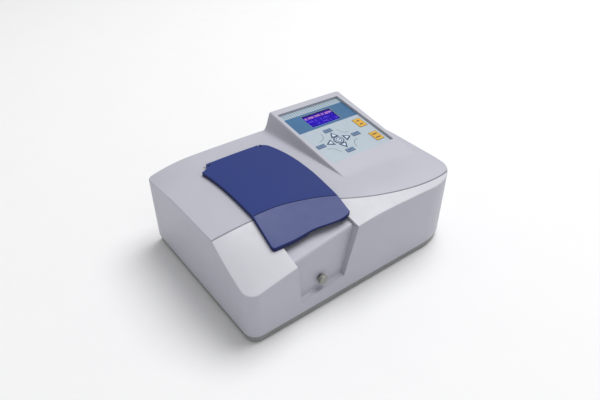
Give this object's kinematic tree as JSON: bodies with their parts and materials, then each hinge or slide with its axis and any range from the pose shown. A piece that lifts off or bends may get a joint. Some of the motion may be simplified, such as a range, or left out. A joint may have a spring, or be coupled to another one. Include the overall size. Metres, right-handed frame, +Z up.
{
  "type": "spectrophotometer",
  "caption": "Bench spectrophotometer: hinged lid over a sample bay with a sliding cuvette carriage on a pull rod, sloping keypad and display console, rear power panel.",
  "frame": {"origin": "centre of the overall footprint, pull knob included, on the bench under the feet", "axes": "+X to the operator's right along the long side, +Y to the back, +Z up; the lid, sample bay and console face -Y"},
  "size_m": [0.46, 0.333, 0.1918],
  "materials": {
    "cover": "fine-textured light grey moulded plastic, satin",
    "pan": "powder-coated dark grey sheet steel",
    "lid": "deep blue moulded plastic, satin gloss",
    "black": "matt black",
    "steel": "turned and brushed",
    "alloy": "machined or cast, satin",
    "rubber": "matt moulded rubber",
    "overlay": "printed polyester film, light blue-grey, satin",
    "key_blue": "printed steel-blue membrane key",
    "key_yellow": "printed yellow membrane key",
    "glass": "clear, polished",
    "display": "blue-violet backlit display",
    "board": "green circuit board"
  },
  "bodies": {
    "chassis": {"main_cover": "cover", "base_pan": "pan", "foot_front_left": "rubber", "foot_front_right": "rubber", "foot_rear_left": "rubber", "foot_rear_right": "rubber", "bay_front_panel": "cover", "bay_tub": "black", "carriage_rail_left": "steel", "carriage_rail_right": "steel", "rod_bush": "black", "hinge_ear_left": "cover", "hinge_ear_right": "cover", "hinge_pin": "steel", "keypad_overlay": "overlay", "keypad_backplate": "alloy", "display_module": "display", "display_window": "glass", "rear_panel": "pan", "power_inlet": "black", "switch_frame": "black", "data_port": "steel", "fan_frame": "black", "fan_grille": "steel", "optical_bench": "alloy", "monochromator_housing": "black", "monochromator_lid": "alloy", "wavelength_motor": "steel", "beam_tube": "black", "exit_lens": "glass", "lamp_house": "alloy", "tungsten_lamp": "glass", "detector_housing": "black", "main_board": "board", "power_supply": "alloy"},
    "lid": {"lid": "lid", "lid_light_seal": "black"},
    "carriage": {"cell_carriage": "black", "pull_rod": "steel", "pull_knob": "steel"},
    "rocker": {"power_rocker": "black"},
    "fuse": {"fuse_drawer": "black"},
    "fan": {"fan_rotor": "black"},
    "grating": {"grating_turntable": "alloy", "diffraction_grating": "glass"},
    "filter_wheel": {"filter_wheel": "alloy"},
    "key_enter": {"key_enter": "key_blue"},
    "key_up": {"key_up": "key_blue"},
    "key_down": {"key_down": "key_blue"},
    "key_left": {"key_left": "key_blue"},
    "key_right": {"key_right": "key_blue"},
    "key_function_top": {"key_function_top": "key_blue"},
    "key_function_bottom": {"key_function_bottom": "key_blue"},
    "key_function_left": {"key_function_left": "key_blue"},
    "key_function_right": {"key_function_right": "key_blue"},
    "key_start": {"key_start": "key_yellow"},
    "key_stop": {"key_stop": "key_yellow"}
  },
  "joints": [
    {"name": "lid_hinge", "type": "hinge", "parent": "chassis", "child": "lid", "pos_m": [-0.081, 0.11, 0.1588], "axis": [-1, 0, 0], "range_deg": [0, 95]},
    {"name": "carriage_slide", "type": "slide", "parent": "chassis", "child": "carriage", "axis": [0, -1, 0], "range_m": [0, 0.06]},
    {"name": "rocker_pivot", "type": "hinge", "parent": "chassis", "child": "rocker", "pos_m": [-0.165, 0.1595, 0.108], "axis": [-1, 0, 0], "range_deg": [0, 18]},
    {"name": "fuse_drawer_slide", "type": "slide", "parent": "chassis", "child": "fuse", "axis": [0, 1, 0], "range_m": [0, 0.012]},
    {"name": "fan_spin", "type": "hinge", "parent": "chassis", "child": "fan", "pos_m": [0.13, 0.1495, 0.08], "axis": [0, 1, 0], "continuous": true},
    {"name": "grating_turn", "type": "hinge", "parent": "chassis", "child": "grating", "pos_m": [0.11, -0.0205, 0.09], "axis": [0, 0, 1], "range_deg": [-30, 30]},
    {"name": "filter_wheel_spin", "type": "hinge", "parent": "chassis", "child": "filter_wheel", "pos_m": [0.14, 0.053, 0.056], "axis": [0, 1, 0], "continuous": true},
    {"name": "key_enter_press", "type": "slide", "parent": "chassis", "child": "key_enter", "axis": [0, 0.1762, -0.9844], "range_m": [0, 0.0005], "stiffness_N_per_m": 900},
    {"name": "key_up_press", "type": "slide", "parent": "chassis", "child": "key_up", "axis": [0, 0.1762, -0.9844], "range_m": [0, 0.0005], "stiffness_N_per_m": 900},
    {"name": "key_down_press", "type": "slide", "parent": "chassis", "child": "key_down", "axis": [0, 0.1762, -0.9844], "range_m": [0, 0.0005], "stiffness_N_per_m": 900},
    {"name": "key_left_press", "type": "slide", "parent": "chassis", "child": "key_left", "axis": [0, 0.1762, -0.9844], "range_m": [0, 0.0005], "stiffness_N_per_m": 900},
    {"name": "key_right_press", "type": "slide", "parent": "chassis", "child": "key_right", "axis": [0, 0.1762, -0.9844], "range_m": [0, 0.0005], "stiffness_N_per_m": 900},
    {"name": "key_function_top_press", "type": "slide", "parent": "chassis", "child": "key_function_top", "axis": [0, 0.1762, -0.9844], "range_m": [0, 0.0005], "stiffness_N_per_m": 900},
    {"name": "key_function_bottom_press", "type": "slide", "parent": "chassis", "child": "key_function_bottom", "axis": [0, 0.1762, -0.9844], "range_m": [0, 0.0005], "stiffness_N_per_m": 900},
    {"name": "key_function_left_press", "type": "slide", "parent": "chassis", "child": "key_function_left", "axis": [0, 0.1762, -0.9844], "range_m": [0, 0.0005], "stiffness_N_per_m": 900},
    {"name": "key_function_right_press", "type": "slide", "parent": "chassis", "child": "key_function_right", "axis": [0, 0.1762, -0.9844], "range_m": [0, 0.0005], "stiffness_N_per_m": 900},
    {"name": "key_start_press", "type": "slide", "parent": "chassis", "child": "key_start", "axis": [0, 0.1762, -0.9844], "range_m": [0, 0.0005], "stiffness_N_per_m": 900},
    {"name": "key_stop_press", "type": "slide", "parent": "chassis", "child": "key_stop", "axis": [0, 0.1762, -0.9844], "range_m": [0, 0.0005], "stiffness_N_per_m": 900}
  ]
}
